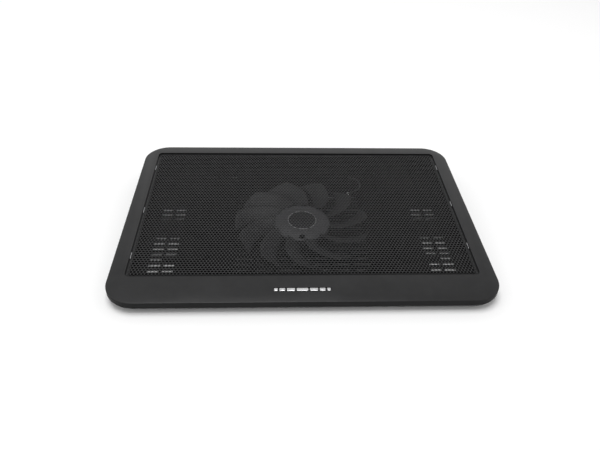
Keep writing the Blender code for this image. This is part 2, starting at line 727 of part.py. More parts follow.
def make_grommet(material, parent):
    """Build the flanged bush in the channel's end wall that the supply cord passes through."""
    inner = CHANNEL_RIGHT - GAP
    outer = CHANNEL_RIGHT + WALL + GAP
    profile = [
        (GROMMET_BORE, inner - 0.0016),
        (0.0036, inner - 0.0016),
        (0.0044, inner - 0.0008),
        (0.0044, inner),
        (BEARING_RADIUS, inner),
        (BEARING_RADIUS, outer),
        (0.0044, outer),
        (0.0044, outer + 0.0014),
        (GROMMET_BORE, outer + 0.0014),
    ]
    grommet = revolve("cord_grommet", profile, segments=24)
    grommet.data.transform(Matrix.Rotation(math.pi / 2, 4, "Y"))
    grommet.data.transform(Matrix.Translation((0, GROMMET_Y, -GROMMET_DEPTH)))
    return dress(grommet, material, parent)


def make_case_screws(material, parent):
    """Build the six pan-head screws that hold the shell to the frame."""
    head_top = -WEB_BOTTOM - GAP
    profile = [
        (0.0, -0.0026),
        (SHANK_RADIUS, -0.0032),
        (SHANK_RADIUS, head_top),
        (HEAD_RADIUS, head_top),
        (HEAD_RADIUS - 0.0003, head_top - HEAD_HEIGHT),
        (0.0, head_top - HEAD_HEIGHT),
    ]
    for number, (x, y) in enumerate(CASE_SCREWS):
        screw = revolve(f"case_screw_{number + 1}", profile, segments=16, closed=False)
        screw.data.transform(Matrix.Translation((x, y, 0)))
        dress(screw, material, parent)


# ---------------------------------------------------------------- legs and feet


def leg_profile():
    """Return the leg's side outline as (y, z) about its pin, from the tip round the barrel."""
    tip = LEG_TIP - PIN_Y
    bottom = LEG_BOTTOM - PIN_Z
    top = LEG_TOP - PIN_Z
    barrel = [
        (LEG_BARREL * math.cos(angle), LEG_BARREL * math.sin(angle))
        for angle in (math.radians(-90 + 15 * step) for step in range(11))
    ]
    return [(tip, bottom), *barrel, (-0.0050, top), (tip + 0.0020, top), (tip, 0.0030)]


def make_leg(name, material, parent):
    """Build one folding leg: a ribbed tray with a barrel for its pin and a seat for its tip pad."""
    bm = bmesh.new()
    face = bm.faces.new([bm.verts.new((-LEG_HALF_WIDTH, y, z)) for y, z in leg_profile()])
    raised = bmesh.ops.extrude_face_region(bm, geom=[face])
    verts = [item for item in raised["geom"] if isinstance(item, bmesh.types.BMVert)]
    bmesh.ops.translate(bm, vec=(2 * LEG_HALF_WIDTH, 0, 0), verts=verts)
    leg = new_object(name, bm)
    tip = LEG_TIP - PIN_Y
    for side in (-1, 1):
        inner = side * 0.0008
        outer = side * (LEG_HALF_WIDTH - 0.0020)
        cut(leg, box("tray", min(inner, outer), max(inner, outer), tip + 0.0045, -0.0080, -0.0025, 0.0120))
    cut(leg, cross_bar("pin_bore", 0.00164, -0.030, 0.030, 0.0, 0.0))
    cut(leg, box("pad_seat", -0.0153, 0.0153, tip - 0.002, tip + 0.0010, -0.0033, 0.0023))
    cut(leg, box("finger_notch", -0.0080, 0.0080, tip - 0.002, tip + 0.0030, -0.0070, -0.0038))
    return dress(leg, material, parent)


def make_leg_pad(name, material, parent):
    """Build the rubber strip on a leg's tip."""
    tip = LEG_TIP - PIN_Y
    outline = rounded_outline(-0.0150, 0.0150, -0.0030, 0.0020, 0.0015, 3)
    pad = extrude_outline(name, outline, 0.0, 0.0012)
    pad.data.transform(Matrix.Rotation(math.pi / 2, 4, "X"))
    pad.data.transform(Matrix.Translation((0, tip + 0.0007, 0)))
    return dress(pad, material, parent)


def make_legs(materials):
    """Build both legs with their pads and pins, each leg under an empty on its hinge axis."""
    for name, side in (("left", -1), ("right", 1)):
        hinge = bpy.data.objects.new(f"leg_hinge_{name}", None)
        hinge.location = (side * LEG_MIDDLE, PIN_Y, PIN_Z)
        bpy.context.scene.collection.objects.link(hinge)
        make_leg(f"leg_{name}", materials["shell"], hinge)
        make_leg_pad(f"leg_pad_{name}", materials["rubber"], hinge)
        half = POCKET_HALF_WIDTH + WALL - GAP
        pin = cross_bar(f"leg_pin_{name}", PIN_RADIUS, -half, half, 0.0, 0.0)
        dress(pin, materials["steel"], hinge)


def make_feet(material):
    """Build the four rubber feet that stand on the table."""
    top = FOOT_RISE + FOOT_RECESS - GAP
    profile = [(0.0, 0.0), (FOOT_RADIUS - 0.0006, 0.0), (FOOT_RADIUS, 0.0005), (FOOT_RADIUS, top), (0.0, top)]
    names = ("front_left", "front_right", "rear_left", "rear_right")
    for name, (x, y) in zip(names, FOOT_PLACES):
        foot = revolve(f"foot_{name}", profile, segments=32, closed=False)
        foot.data.transform(Matrix.Translation((x, y, 0)))
        dress(foot, material)


# ---------------------------------------------------------------- assembly


def make_materials():
    """Return the materials by name."""
    return {
        "frame": make_material("frame", (0.045, 0.045, 0.047), 0.42),
        "panel": make_material("panel", (0.035, 0.035, 0.037), 0.40, 0.3),
        "shell": make_material("shell", (0.018, 0.018, 0.019), 0.50),
        "fan": make_material("fan", (0.060, 0.060, 0.063), 0.40),
        "silver": make_material("silver", (0.60, 0.60, 0.61), 0.30, 0.8),
        "steel": make_material("steel", (0.45, 0.45, 0.46), 0.30, 1.0),
        "ferrite": make_material("ferrite", (0.05, 0.05, 0.05), 0.60),
        "copper": make_material("copper", (0.60, 0.26, 0.12), 0.35, 1.0),
        "bronze": make_material("bronze", (0.50, 0.32, 0.16), 0.45, 1.0),
        "nylon": make_material("nylon", (0.75, 0.73, 0.68), 0.50),
        "board": make_material("board", (0.03, 0.12, 0.06), 0.45),
        "rubber": make_material("rubber", (0.020, 0.020, 0.020), 0.80),
    }


def main():
    """Build every piece under the empties that place it."""
    clear_scene()
    materials = make_materials()
    deck = bpy.data.objects.new("deck_plane", None)
    deck.location = (0, 0, DECK_LIFT)
    deck.rotation_euler = (TILT, 0, 0)
    bpy.context.scene.collection.objects.link(deck)
    axis = bpy.data.objects.new("fan_axis", None)
    axis.location = (FAN_X, FAN_Y, 0)
    axis.parent = deck
    bpy.context.scene.collection.objects.link(axis)
    make_top_frame(materials["frame"], deck)
    make_mesh_panel(materials["panel"], deck)
    make_mark(materials["silver"], deck)
    make_bottom_shell(materials["shell"], deck)
    make_fan_rotor(materials["fan"], axis)
    make_rotor_inserts(materials, axis)
    make_stator(materials, axis)
    make_fan_lead(materials["rubber"], deck)
    make_grommet(materials["rubber"], deck)
    make_case_screws(materials["steel"], deck)
    make_legs(materials)
    make_feet(materials["rubber"])


main()
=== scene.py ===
"""Laptop cooling pad: fine shapes, finishes, floor, light and camera round the fixed model.

Lengths are metres, +Z is up and +Y points away from the user. Pieces of the deck are drawn level, with
their origin in the middle of the deck's top face, and are then laid on the tilted deck plane.
"""

import logging
import math
from abc import ABC, abstractmethod
from dataclasses import dataclass
from enum import Enum
from typing import Callable, Optional, Sequence

import bmesh
import bpy
from mathutils import Matrix, Quaternion, Vector


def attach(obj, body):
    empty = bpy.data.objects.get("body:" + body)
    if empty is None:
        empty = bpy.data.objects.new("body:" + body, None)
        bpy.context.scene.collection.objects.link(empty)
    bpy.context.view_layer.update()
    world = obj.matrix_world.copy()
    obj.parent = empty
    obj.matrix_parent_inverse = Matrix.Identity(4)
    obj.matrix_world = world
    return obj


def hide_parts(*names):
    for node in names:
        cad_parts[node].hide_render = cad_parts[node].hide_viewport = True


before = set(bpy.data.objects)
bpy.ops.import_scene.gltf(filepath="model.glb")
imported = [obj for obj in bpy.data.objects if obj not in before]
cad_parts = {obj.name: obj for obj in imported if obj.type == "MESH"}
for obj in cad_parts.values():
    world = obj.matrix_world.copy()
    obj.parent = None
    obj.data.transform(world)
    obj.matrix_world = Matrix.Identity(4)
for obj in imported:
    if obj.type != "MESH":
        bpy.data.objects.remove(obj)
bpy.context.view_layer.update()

LOG = logging.getLogger("cooling_pad")

TILT = math.radians(4.1)
DECK_LIFT = 0.020937  # from the table to the middle of the deck's top face
DECK = Matrix.Translation((0.0, 0.0, DECK_LIFT)) @ Matrix.Rotation(TILT, 4, "X")
DECK_HALF = (0.175, 0.125)
GAP = 0.0003  # left round a piece that sits in another
SPILL = 0.002  # how far a cutting block reaches past what it cuts
SMOOTH_ANGLE = math.radians(35)  # edges sharper than this stay crisp
ROUNDED_ANGLE = math.radians(50)  # edges sharper than this are rounded
NEAR = 1e-6  # lengths below this count as nothing

Colour = tuple[float, float, float]
Point = tuple[float, float, float]
Pair = tuple[float, float]
Piece = bpy.types.Object
Shape = bmesh.types.BMesh
Edge = bmesh.types.BMEdge
Node = bpy.types.Node
Socket = bpy.types.NodeSocket


class Side(Enum):
    """A side of the pad, with the sign of its X."""

    LEFT = -1
    RIGHT = 1

    def label(self) -> str:
        """Return the side as it stands in the names of pieces."""
        return self.name.lower()


# ------------------------------------------------------------------ shape tools


def link_object(name: str, data: bpy.types.ID) -> Piece:
    """Put a mesh, light or camera into the scene.

    Args:
        name: The object's name.
        data: What it shows.

    Returns:
        The new object, at the origin.
    """
    obj = bpy.data.objects.new(name, data)
    bpy.context.scene.collection.objects.link(obj)
    return obj


def link_mesh(name: str, bm: Shape) -> Piece:
    """Turn a bmesh into a shown object.

    Args:
        name: The piece's name.
        bm: The shape, which is freed.

    Returns:
        The new object, at the origin.
    """
    mesh = bpy.data.meshes.new(name)
    bm.to_mesh(mesh)
    bm.free()
    return link_object(name, mesh)


def closed_mesh(name: str, bm: Shape) -> Piece:
    """Turn a closed bmesh into an object with outward faces and angle-based smoothing.

    Args:
        name: The piece's name.
        bm: The shape, which is freed.

    Returns:
        The new object.
    """
    bmesh.ops.recalc_face_normals(bm, faces=bm.faces)
    return smoothed(link_mesh(name, bm))


def smoothed(obj: Piece) -> Piece:
    """Shade an object smooth, apart from its sharp edges.

    Args:
        obj: The object.

    Returns:
        The same object.
    """
    obj.data.shade_smooth()
    obj.data.set_sharp_from_angle(angle=SMOOTH_ANGLE)
    return obj


def carve(target: Piece, tool: Piece) -> Piece:
    """Cut one solid away from another, and use it up.

    Args:
        target: The solid that is cut.
        tool: The solid that is cut away and removed.

    Returns:
        The changed target.
    """
    modifier = target.modifiers.new("carve", "BOOLEAN")
    modifier.object = tool
    modifier.operation = "DIFFERENCE"
    modifier.solver = "EXACT"
    graph = bpy.context.evaluated_depsgraph_get()
    mesh = bpy.data.meshes.new_from_object(target.evaluated_get(graph))
    target.modifiers.clear()
    target.data = mesh
    bpy.data.objects.remove(tool, do_unlink=True)
    return smoothed(target)


def bevel_edges(bm: Shape, edges: Sequence[Edge], offset: float, segments: int) -> None:
    """Round some edges of a bmesh.

    Args:
        bm: The shape.
        edges: The edges to round.
        offset: How far the rounding reaches along each face.
        segments: How many steps it takes.
    """
    bmesh.ops.bevel(
        bm, geom=list(edges), offset=offset, segments=segments, profile=0.5, affect="EDGES", material=-1
    )


def sharp_edges(bm: Shape, angle: float = SMOOTH_ANGLE) -> list[Edge]:
    """Return the edges whose two faces meet at more than an angle."""
    return [edge for edge in bm.edges if len(edge.link_faces) == 2 and edge.calc_face_angle(0.0) > angle]


def upright_edges(bm: Shape, rise: float) -> list[Edge]:
    """Return the edges whose ends differ in height by more than a rise."""
    return [edge for edge in bm.edges if abs(edge.verts[0].co.z - edge.verts[1].co.z) > rise]


def edges_above(bm: Shape, level: float) -> list[Edge]:
    """Return the edges that lie above a level."""
    return [edge for edge in bm.edges if all(vert.co.z > level for vert in edge.verts)]


def add_box(bm: Shape, centre: Sequence[float], size: Sequence[float]) -> None:
    """Add a level box to a bmesh."""
    place = Matrix.Translation(Vector(centre)) @ Matrix.Diagonal((*size, 1.0))
    bmesh.ops.create_cube(bm, size=1.0, matrix=place)


def merged_copy(node: str) -> Shape:
    """Copy a fixed node, with shared corners merged and flat faces whole.

    Args:
        node: The node's name.

    Returns:
        The copy.
    """
    bm = bmesh.new()
    bm.from_mesh(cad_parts[node].data)
    bmesh.ops.remove_doubles(bm, verts=bm.verts, dist=NEAR)
    bmesh.ops.dissolve_limit(bm, angle_limit=math.radians(0.5), verts=bm.verts, edges=bm.edges)
    return bm


def block(name: str, low: Point, high: Point, corner: float = 0.0, corner_steps: int = 1) -> Piece:
    """Make a block with round upright corners.

    Args:
        name: The object's name.
        low: Its lowest corner.
        high: Its highest corner.
        corner: The radius of its upright corners.
        corner_steps: The steps round each upright corner.

    Returns:
        The block.
    """
    bm = bmesh.new()
    size = Vector(high) - Vector(low)
    add_box(bm, (Vector(high) + Vector(low)) / 2, size)
    if corner > 0.0:
        bevel_edges(bm, upright_edges(bm, size.z / 2), corner, corner_steps)
    return closed_mesh(name, bm)


def drum(radius: float, start: float, end: float) -> list[Pair]:
    """Return the profile of a plain drum between two heights, for turning."""
    return [(0.0, start), (radius, start), (radius, end), (0.0, end)]


def turned(name: str, profile: Sequence[Pair], steps: int, soft: float = 0.0, closed: bool = False) -> Piece:
    """Spin a profile of (radius, height) points about the Z axis.

    Args:
        name: The object's name.
        profile: The points, from the axis back to the axis, or all round when closed.
        steps: The steps of the full turn.
        soft: How far its sharp edges are rounded.
        closed: Whether the profile is a closed loop off the axis.

    Returns:
        The turned solid.
    """
    bm = bmesh.new()
    points = [bm.verts.new((radius, 0.0, height)) for radius, height in profile]
    edges = [bm.edges.new(pair) for pair in zip(points, points[1:])]
    if closed:
        edges.append(bm.edges.new((points[-1], points[0])))
    bmesh.ops.spin(
        bm,
        geom=points + edges,
        cent=(0.0, 0.0, 0.0),
        axis=(0.0, 0.0, 1.0),
        dvec=(0.0, 0.0, 0.0),
        angle=math.tau,
        steps=steps,
        use_merge=True,
    )
    bmesh.ops.remove_doubles(bm, verts=bm.verts, dist=NEAR / 10)
    bmesh.ops.recalc_face_normals(bm, faces=bm.faces)
    if soft > 0.0:
        bevel_edges(bm, sharp_edges(bm, math.radians(30)), soft, 2)
    return closed_mesh(name, bm)


def laid_on_deck(obj: Piece, shift: Point = (0.0, 0.0, 0.0)) -> Piece:
    """Move a mesh drawn in the deck's own frame to its place on the tilted deck.

    Args:
        obj: The piece.
        shift: A move in the deck's frame made first.

    Returns:
        The same object, still at the origin.
    """
    obj.data.transform(DECK @ Matrix.Translation(shift))
    return obj


# ------------------------------------------------------------------ material tools


class Graph:
    """A thin hand for writing a node tree."""

    def __init__(self, tree: bpy.types.NodeTree) -> None:
        """Keep the tree and empty it."""
        self.tree = tree
        tree.nodes.clear()

    def add(self, kind: str, **settings: object) -> Node:
        """Add a node and set its properties.

        Args:
            kind: The node's class name without its ShaderNode start.
            **settings: Properties of the node.

        Returns:
            The node.
        """
        node = self.tree.nodes.new(kind if kind.startswith("NodeGroup") else "ShaderNode" + kind)
        for key, value in settings.items():
            setattr(node, key, value)
        return node

    def fill(self, target: Socket, value: object) -> None:
        """Set an input to a number, colour or vector, or join another socket to it.

        Args:
            target: The input.
            value: What goes into it.
        """
        if isinstance(value, Socket):
            self.tree.links.new(value, target)
        else:
            target.default_value = value

    def feed(self, node: Node, **values: object) -> Node:
        """Fill some inputs of a node.

        Args:
            node: The node.
            **values: The inputs by name, with underscores for spaces.

        Returns:
            The node.
        """
        for key, value in values.items():
            self.fill(node.inputs[key.replace("_", " ")], value)
        return node

    def group(self, tree: bpy.types.NodeTree, **values: object) -> Node:
        """Add one of the shared effects and fill its inputs."""
        return self.feed(self.add("Group", node_tree=tree), **values)

    def noise(self, vector: Socket, scale: object, detail: float, roughness: float = 0.5) -> Socket:
        """Add a noise texture and return its factor.

        Args:
            vector: The coordinates.
            scale: The scale, as a number or socket.
            detail: Its octaves.
            roughness: The weight of the finer ones.

        Returns:
            The factor socket.
        """
        node = self.feed(self.add("TexNoise"), Vector=vector, Scale=scale, Detail=detail, Roughness=roughness)
        return node.outputs["Fac"]

    def remap(
        self, value: Socket, low: float, high: float, out_low: float = 0.0, out_high: float = 1.0
    ) -> Socket:
        """Stretch a value from one range to another, with its ends held.

        Args:
            value: The socket to stretch.
            low: Where the old range starts.
            high: Where it ends.
            out_low: Where the new range starts.
            out_high: Where it ends.

        Returns:
            The stretched value.
        """
        node = self.add("MapRange", clamp=True)
        self.feed(node, Value=value, From_Min=low, From_Max=high, To_Min=out_low, To_Max=out_high)
        return node.outputs["Result"]

    def math(self, operation: str, *values: object) -> Socket:
        """Add a Math node.

        Args:
            operation: Its operation.
            *values: Its inputs in order, each a number or socket.

        Returns:
            The result.
        """
        node = self.add("Math", operation=operation)
        for socket, value in zip(node.inputs, values):
            self.fill(socket, value)
        return node.outputs["Value"]

    def mix(self, factor: Socket, first: Colour, second: Colour) -> Socket:
        """Mix two colours by a factor.

        Args:
            factor: The mask.
            first: The colour at 0.
            second: The colour at 1.

        Returns:
            The mixed colour.
        """
        node = self.feed(self.add("Mix", data_type="RGBA"), Factor=factor)
        ends = {"A": (*first, 1.0), "B": (*second, 1.0)}
        for socket in node.inputs:
            if socket.type == "RGBA":
                socket.default_value = ends[socket.name]
        return next(socket for socket in node.outputs if socket.type == "RGBA")

    def bump(self, height: Socket, strength: float, distance: float) -> Socket:
        """Add a Bump node.

        Args:
            height: The height, from 0 to 1.
            strength: How much of it shows.
            distance: How tall 1 is.

        Returns:
            The bumped normal.
        """
        node = self.feed(self.add("Bump"), Height=height, Strength=strength, Distance=distance)
        return node.outputs["Normal"]

    def place(
        self, centre: Point = (0.0, 0.0, 0.0), stretch: Point = (1.0, 1.0, 1.0), tilt: float = 0.0
    ) -> Socket:
        """Return object coordinates centred on a point, turned level and stretched.

        Args:
            centre: The point that becomes the pattern's origin.
            stretch: The pattern's scale along each axis.
            tilt: The turn about X that the piece has.

        Returns:
            The coordinates.
        """
        where = self.add("TexCoord").outputs["Object"]
        moved = self.add("Mapping", vector_type="TEXTURE")
        self.feed(moved, Vector=where, Location=centre, Rotation=(tilt, 0.0, 0.0))
        scaled = self.add("Mapping", vector_type="POINT")
        self.feed(scaled, Vector=moved.outputs["Vector"], Scale=stretch)
        return scaled.outputs["Vector"]


class Effects:
    """The shader effects that several finishes share, each a node group."""

    coarse_share: float = 0.11
    pit_share: float = 0.6
    hairline_turn: Point = (0.0, 0.0, 0.6)
    hairline_stretch: Point = (1.0, 26.0, 1.0)
    hairline_share: float = 4.0

    def __init__(self) -> None:
        """Build every group once."""
        self.grain = self._moulded_grain()
        self.wear = self._handling_wear()
        self.dust = self._settled_dust()

    @staticmethod
    def _start(name: str, scale: float, outputs: Sequence[str]) -> tuple[Graph, Node, Node]:
        """Open a new group that takes coordinates and a scale.

        Args:
            name: The group's name.
            scale: The scale at the start.
            outputs: The names of its outputs.

        Returns:
            The graph and its input and output nodes.
        """
        tree = bpy.data.node_groups.new(name, "ShaderNodeTree")
        tree.interface.new_socket(name="Vector", in_out="INPUT", socket_type="NodeSocketVector")
        socket = tree.interface.new_socket(name="Scale", in_out="INPUT", socket_type="NodeSocketFloat")
        socket.default_value = scale
        for label in outputs:
            tree.interface.new_socket(name=label, in_out="OUTPUT", socket_type="NodeSocketFloat")
        graph = Graph(tree)
        return graph, graph.add("NodeGroupInput"), graph.add("NodeGroupOutput")

    def _moulded_grain(self) -> bpy.types.NodeTree:
        """Build the fine spark-eroded grain of moulded plastic and powder coat.

        Returns:
            The group, with a height and a slow change of tone.
        """
        graph, given, out = self._start("moulded grain", 900.0, ("Height", "Tone"))
        where, scale = given.outputs["Vector"], given.outputs["Scale"]
        fine = graph.noise(where, scale, detail=3.0, roughness=0.6)
        coarse = graph.noise(where, graph.math("MULTIPLY", scale, self.coarse_share), detail=2.0)
        grains = graph.feed(graph.add("TexVoronoi", feature="SMOOTH_F1"), Vector=where, Scale=scale)
        pits = graph.math("MULTIPLY", grains.outputs["Distance"], self.pit_share)
        graph.feed(out, Height=graph.math("ADD", fine, pits), Tone=graph.remap(coarse, 0.35, 0.65))
        return graph.tree

    def _handling_wear(self) -> bpy.types.NodeTree:
        """Build the faint smears and hairlines that handling leaves.

        Returns:
            The group, with a mask of each.
        """
        graph, given, out = self._start("handling wear", 14.0, ("Smears", "Hairlines"))
        where, scale = given.outputs["Vector"], given.outputs["Scale"]
        smears = graph.noise(where, scale, detail=4.0, roughness=0.6)
        slant = graph.add("Mapping", vector_type="POINT")
        graph.feed(slant, Vector=where, Rotation=self.hairline_turn, Scale=self.hairline_stretch)
        finer = graph.math("MULTIPLY", scale, self.hairline_share)
        lines = graph.noise(slant.outputs["Vector"], finer, detail=2.0)
        graph.feed(out, Smears=graph.remap(smears, 0.45, 0.70), Hairlines=graph.remap(lines, 0.66, 0.74))
        return graph.tree

    def _settled_dust(self) -> bpy.types.NodeTree:
        """Build the thin dust that lies on faces that look up.

        Returns:
            The group, with its mask.
        """
        graph, given, out = self._start("settled dust", 60.0, ("Mask",))
        normal = graph.add("NewGeometry").outputs["Normal"]
        facing = graph.feed(graph.add("SeparateXYZ"), Vector=normal)
        upward = graph.remap(facing.outputs["Z"], 0.2, 0.9)
        patches = graph.noise(given.outputs["Vector"], given.outputs["Scale"], detail=5.0, roughness=0.7)
        graph.feed(out, Mask=graph.math("MULTIPLY", upward, graph.remap(patches, 0.4, 0.8)))
        return graph.tree

    def smeared(self, graph: Graph, where: Socket, scale: float, clean: float, dull: float) -> Socket:
        """Return a roughness that handling smears raise.

        Args:
            graph: The material's graph.
            where: The coordinates.
            scale: The scale of the smears.
            clean: The roughness between them.
            dull: The roughness where they are thickest.

        Returns:
            The roughness.
        """
        wear = graph.group(self.wear, Vector=where, Scale=scale)
        return graph.remap(wear.outputs["Smears"], 0.0, 1.0, clean, dull)


def lifted(colour: Colour, amount: float) -> Colour:
    """Return a colour made lighter by an amount added to each channel."""
    return (colour[0] + amount, colour[1] + amount, colour[2] + amount)


def darkened(colour: Colour, share: float) -> Colour:
    """Return a share of a colour."""
    return (share * colour[0], share * colour[1], share * colour[2])


def new_shader(name: str) -> tuple[bpy.types.Material, Graph, Node]:
    """Open a material with a Principled shader.

    Args:
        name: The material's name.

    Returns:
        The material, its graph and its shader.
    """
    material = bpy.data.materials.new(name)
    material.use_nodes = True
    graph = Graph(material.node_tree)
    shader = graph.add("BsdfPrincipled")
    graph.feed(graph.add("OutputMaterial"), Surface=shader.outputs["BSDF"])
    return material, graph, shader


@dataclass(frozen=True)
class MouldedPlastic:
    """Satin or matt injection-moulded plastic, also used for powder coat."""

    name: str
    colour: Colour
    roughness: float
    grain: float = 1100.0
    depth: float = 0.00003
    specular: float = 0.5
    dusty: float = 0.01
    smear: float = 0.06
    relief: float = 0.35
    wear_scale: float = 14.0
    dust_scale: float = 70.0
    tone_share: float = 0.5
    hairline_share: float = -0.5

    def build(self, effects: Effects) -> bpy.types.Material:
        """Make the material.

        Args:
            effects: The shared effects.

        Returns:
            The material.
        """
        material, graph, shader = new_shader(self.name)
        where = graph.place()
        grain = graph.group(effects.grain, Vector=where, Scale=self.grain)
        wear = graph.group(effects.wear, Vector=where, Scale=self.wear_scale)
        dust = graph.group(effects.dust, Vector=where, Scale=self.dust_scale)
        tone = graph.math("MULTIPLY_ADD", grain.outputs["Tone"], self.tone_share, dust.outputs["Mask"])
        hairlines = graph.math("MULTIPLY", wear.outputs["Hairlines"], self.hairline_share)
        smear = graph.math("ADD", wear.outputs["Smears"], hairlines)
        glossy, dull = self.roughness - self.smear, self.roughness + self.smear
        graph.feed(
            shader,
            Base_Color=graph.mix(tone, self.colour, lifted(self.colour, self.dusty)),
            Roughness=graph.remap(smear, self.hairline_share, 1.0, glossy, dull),
            Specular_IOR_Level=self.specular,
            Normal=graph.bump(grain.outputs["Height"], self.relief, self.depth),
        )
        return material


@dataclass(frozen=True)
class BrushedMetal:
    """Bare metal with fine lines along one axis."""

    name: str
    colour: Colour
    roughness: float
    stretch: Point = (40.0, 1.0, 40.0)
    scale: float = 90.0
    darkest: float = 0.7
    spread: float = 0.14
    relief: float = 0.25
    depth: float = 0.00002

    def build(self, effects: Effects) -> bpy.types.Material:
        """Make the material.

        Args:
            effects: The shared effects.

        Returns:
            The material.
        """
        material, graph, shader = new_shader(self.name)
        lines = graph.noise(graph.place(stretch=self.stretch), self.scale, detail=4.0, roughness=0.7)
        dull = self.roughness + self.spread
        graph.feed(
            shader,
            Base_Color=graph.mix(lines, darkened(self.colour, self.darkest), self.colour),
            Metallic=1.0,
            Roughness=effects.smeared(graph, graph.place(), self.scale, self.roughness, dull),
            Normal=graph.bump(lines, self.relief, self.depth),
        )
        return material


class Lines(Enum):
    """How even lines run over a metal."""

    RINGS = "RINGS"
    BANDS = "BANDS"


@dataclass(frozen=True)
class LinedMetal:
    """Metal with even lines, such as spun foil or wire wound side by side."""

    name: str
    colour: Colour
    lines: Lines
    roughness: Pair
    scale: float
    distortion: float
    darkest: float
    metallic: float
    relief: float
    depth: float
    detail: float = 2.0
    wear_scale: float = 150.0
    centre: Point = (0.0, 0.0, 0.0)

    def build(self, effects: Effects) -> bpy.types.Material:
        """Make the material.

        Args:
            effects: The shared effects.

        Returns:
            The material.
        """
        material, graph, shader = new_shader(self.name)
        where = graph.place(centre=self.centre, tilt=TILT)
        wave = graph.add("TexWave", wave_type=self.lines.value, wave_profile="SIN")
        wave.rings_direction = wave.bands_direction = "Z"
        graph.feed(wave, Vector=where, Scale=self.scale, Distortion=self.distortion, Detail=self.detail)
        lines = wave.outputs["Fac"]
        graph.feed(
            shader,
            Base_Color=graph.mix(lines, darkened(self.colour, self.darkest), self.colour),
            Metallic=self.metallic,
            Roughness=effects.smeared(graph, where, self.wear_scale, *self.roughness),
            Normal=graph.bump(lines, self.relief, self.depth),
        )
        return material


@dataclass(frozen=True)
class TrackedBoard:
    """Circuit board with copper tracks under its solder mask."""

    name: str
    colour: Colour
    tracks: float = 260.0
    track_width: float = 0.05
    darkest: float = 0.85
    track_lift: float = 0.08
    roughness: Pair = (0.3, 0.42)
    wear_scale: float = 100.0
    relief: float = 0.3
    depth: float = 0.00005

    def build(self, effects: Effects) -> bpy.types.Material:
        """Make the material.

        Args:
            effects: The shared effects.

        Returns:
            The material.
        """
        material, graph, shader = new_shader(self.name)
        where = graph.place(tilt=TILT)
        tracks = graph.feed(
            graph.add("TexBrick", offset=0.37),
            Vector=where,
            Scale=self.tracks,
            Mortar_Size=self.track_width,
            Color1=(*self.colour, 1.0),
            Color2=(*darkened(self.colour, self.darkest), 1.0),
            Mortar=(*lifted(self.colour, self.track_lift), 1.0),
        )
        graph.feed(
            shader,
            Base_Color=tracks.outputs["Color"],
            Roughness=effects.smeared(graph, where, self.wear_scale, *self.roughness),
            Normal=graph.bump(tracks.outputs["Fac"], self.relief, self.depth),
        )
        return material


class Finishes:
    """Every finish of the pad, each made once."""

    def __init__(self, fan_centre: Point) -> None:
        """Build the effects and the materials.

        Args:
            fan_centre: A point on the fan's axis.
        """
        fine = {"grain": 1500.0, "depth": 0.00001}
        # The side finish is a darker copy of the frame plastic: painted shade on the front lip. Its coarser
        # grain and lower specular are surface settings.
        dark_shell, lip_painted_shade = (0.008, 0.008, 0.0085), (0.006, 0.006, 0.0062)
        # The inside finish is a near-black copy of the shell plastic: painted shade inside the case.
        inner_painted_shade, dark_rubber = (0.0012, 0.0012, 0.0013), (0.020, 0.020, 0.020)
        plans = (
            MouldedPlastic("satin frame", (0.009, 0.009, 0.0095), 0.34, specular=0.38, dusty=0.004),
            MouldedPlastic("matt shell", dark_shell, 0.55, grain=800.0, specular=0.3, dusty=0.003),
            MouldedPlastic("textured side with painted shade", lip_painted_shade, 0.60, grain=700.0, specular=0.18, dusty=0.002),
            MouldedPlastic("painted shade inside", inner_painted_shade, 0.75, grain=500.0, specular=0.05, dusty=0.0006),
            MouldedPlastic("leg plastic", dark_shell, 0.5, grain=800.0, specular=0.3),
            MouldedPlastic("polished rim", (0.20, 0.20, 0.205), 0.30, specular=0.7, **fine),
            MouldedPlastic("fan plastic", (0.009, 0.009, 0.0098), 0.50, specular=0.28, **fine),
            MouldedPlastic("hub plastic", (0.052, 0.052, 0.055), 0.50, specular=0.25, **fine),
            MouldedPlastic("powder coat", (0.025, 0.025, 0.026), 0.44, grain=2200.0, depth=0.00002),
            MouldedPlastic("soft rubber", dark_rubber, 0.78, grain=1300.0, dusty=0.02, specular=0.3),
            MouldedPlastic("cable jacket", (0.018, 0.018, 0.018), 0.5, grain=1600.0),
            MouldedPlastic("natural nylon", (0.70, 0.68, 0.62), 0.45),
            MouldedPlastic("sintered ferrite", (0.05, 0.05, 0.052), 0.7, grain=2500.0),
            BrushedMetal("satin trim", (0.78, 0.78, 0.79), 0.28, stretch=(1.0, 40.0, 40.0)),
            BrushedMetal("zinc steel", (0.62, 0.62, 0.64), 0.32),
            BrushedMetal("blackened steel", (0.05, 0.05, 0.052), 0.5),
            BrushedMetal("laminated steel", (0.42, 0.42, 0.44), 0.42, stretch=(1.0, 1.0, 60.0)),
            BrushedMetal("oiled bronze", (0.56, 0.38, 0.20), 0.38),
            LinedMetal(
                "label foil", (0.016, 0.016, 0.018), Lines.RINGS, (0.50, 0.60), scale=900.0,
                distortion=1.2, darkest=0.82, metallic=0.6, relief=0.2, depth=0.00001, detail=3.0,
                wear_scale=120.0, centre=fan_centre,
            ),
            LinedMetal(
                "enamelled copper", (0.72, 0.30, 0.13), Lines.BANDS, (0.28, 0.40), scale=800.0,
                distortion=0.4, darkest=0.35, metallic=0.9, relief=0.6, depth=0.0001,
            ),
            TrackedBoard("solder mask", (0.02, 0.11, 0.05)),
        )
        effects = Effects()
        self.made = {plan.name: plan.build(effects) for plan in plans}

    def put(self, obj: Piece, name: str) -> None:
        """Give an object one finish."""
        obj.data.materials.clear()
        obj.data.materials.append(self.made[name])


# ------------------------------------------------------------------ the pad's pieces


